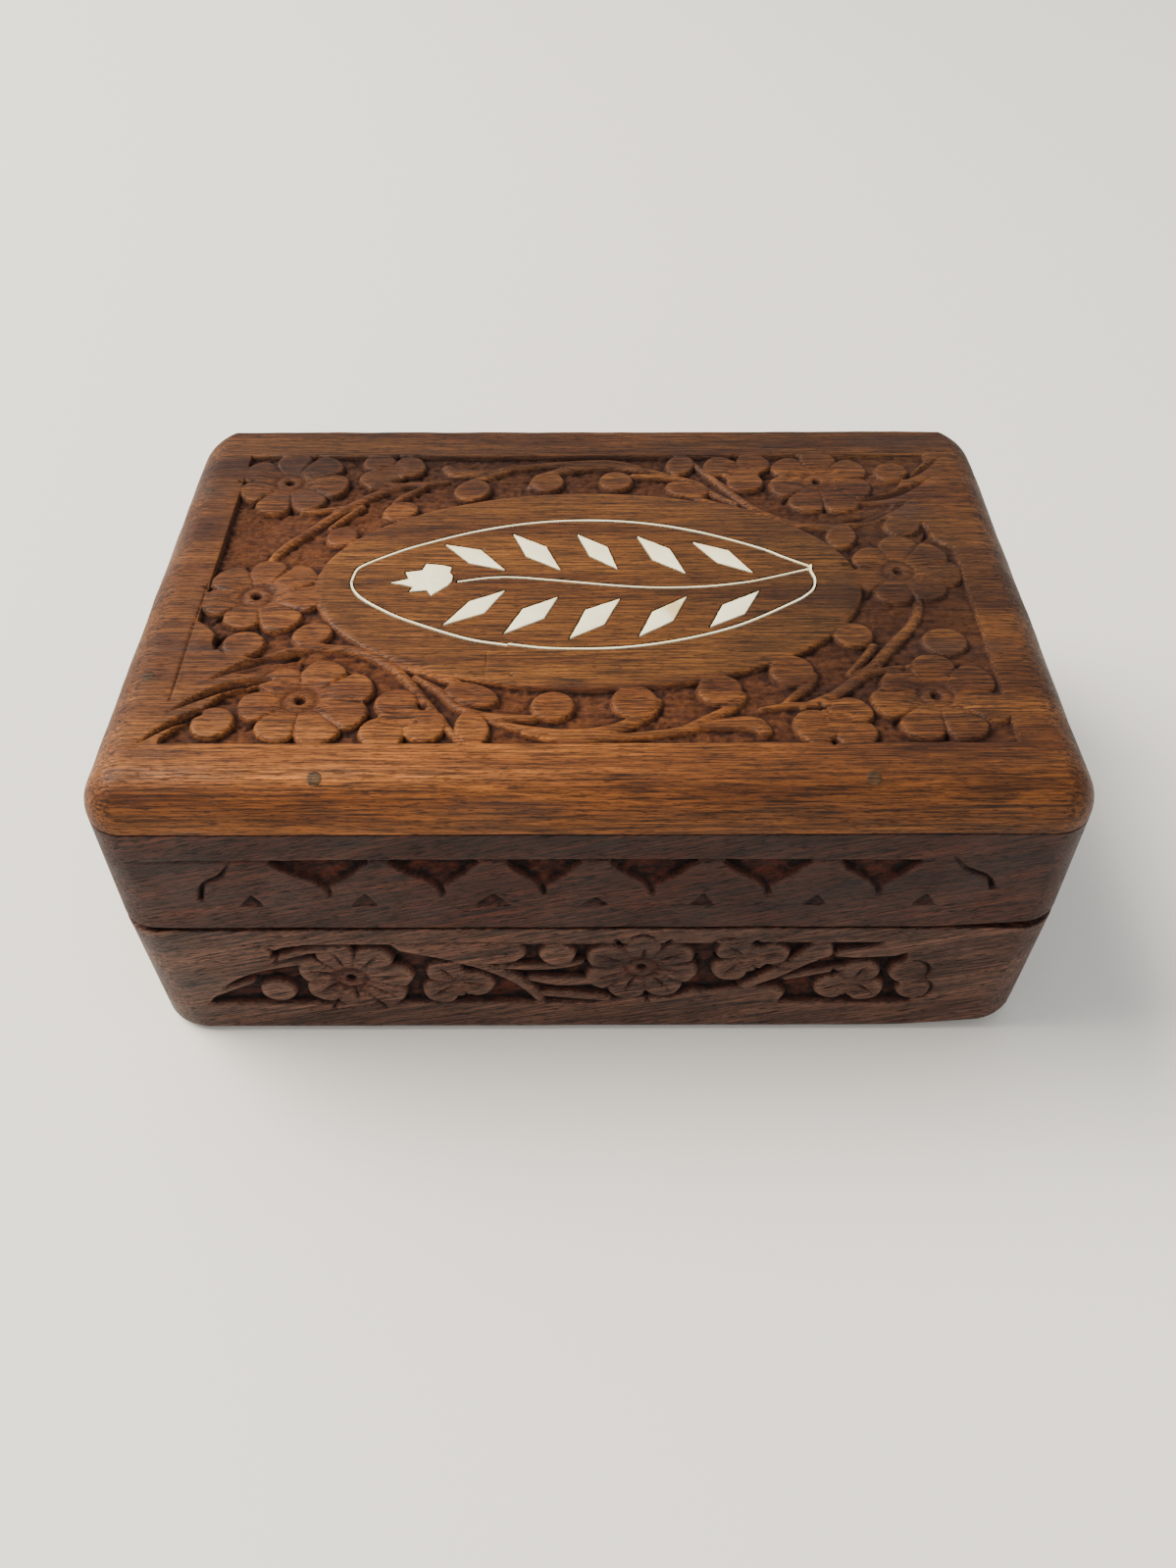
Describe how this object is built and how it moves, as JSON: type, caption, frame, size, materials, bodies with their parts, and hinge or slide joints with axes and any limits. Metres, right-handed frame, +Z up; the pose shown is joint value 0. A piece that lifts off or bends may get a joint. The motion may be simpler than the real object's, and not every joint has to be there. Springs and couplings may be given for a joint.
{
  "type": "carved wooden box",
  "caption": "Rectangular carved hardwood box with a hinged lid, a smooth oval inlaid with a white leaf, and a carved flower border.",
  "frame": {"origin": "centre of the underside", "axes": "+X along the length, -Y towards the carved front, +Z up through the lid"},
  "size_m": [0.152, 0.102, 0.06],
  "materials": {
    "lid_wood": "worn polish, darker in the carving",
    "wall_wood": "dark open grain, dull polish",
    "inner_wood": "plain sanded",
    "peg_wood": "end grain",
    "bone": "polished bone, slightly yellowed",
    "brass": "aged, dull",
    "velvet": "short pile"
  },
  "bodies": {
    "base": {"base_front_wall": "wall_wood", "base_back_wall": "wall_wood", "base_left_wall": "wall_wood", "base_right_wall": "wall_wood", "base_board": "inner_wood", "base_floor_lining": "velvet", "base_wall_lining": "velvet", "hinge_left_base_leaf": "brass", "hinge_left_base_screw_1": "brass", "hinge_left_base_screw_2": "brass", "hinge_left_pin": "brass", "hinge_right_base_leaf": "brass", "hinge_right_base_screw_1": "brass", "hinge_right_base_screw_2": "brass", "hinge_right_pin": "brass"},
    "lid": {"lid_front_rail": "wall_wood", "lid_back_rail": "wall_wood", "lid_left_rail": "wall_wood", "lid_right_rail": "wall_wood", "lid_board": "lid_wood", "lid_peg_front_left": "peg_wood", "lid_peg_front_right": "peg_wood", "lid_peg_left_front": "peg_wood", "lid_peg_left_back": "peg_wood", "inlay_outline_back": "bone", "inlay_outline_front_left": "bone", "inlay_outline_front_right": "bone", "inlay_stem": "bone", "inlay_bud": "bone", "inlay_leaf_back_1": "bone", "inlay_leaf_back_2": "bone", "inlay_leaf_back_3": "bone", "inlay_leaf_back_4": "bone", "inlay_leaf_back_5": "bone", "inlay_leaf_front_1": "bone", "inlay_leaf_front_2": "bone", "inlay_leaf_front_3": "bone", "inlay_leaf_front_4": "bone", "inlay_leaf_front_5": "bone", "lid_ceiling_lining": "velvet", "lid_wall_lining": "velvet", "hinge_left_lid_leaf": "brass", "hinge_left_lid_screw_1": "brass", "hinge_left_lid_screw_2": "brass", "hinge_right_lid_leaf": "brass", "hinge_right_lid_screw_1": "brass", "hinge_right_lid_screw_2": "brass"}
  },
  "joints": [
    {"name": "lid_hinge", "type": "hinge", "parent": "base", "child": "lid", "pos_m": [0, 0.049, 0.03], "axis": [-1, 0, 0], "range_deg": [0, 100]}
  ]
}
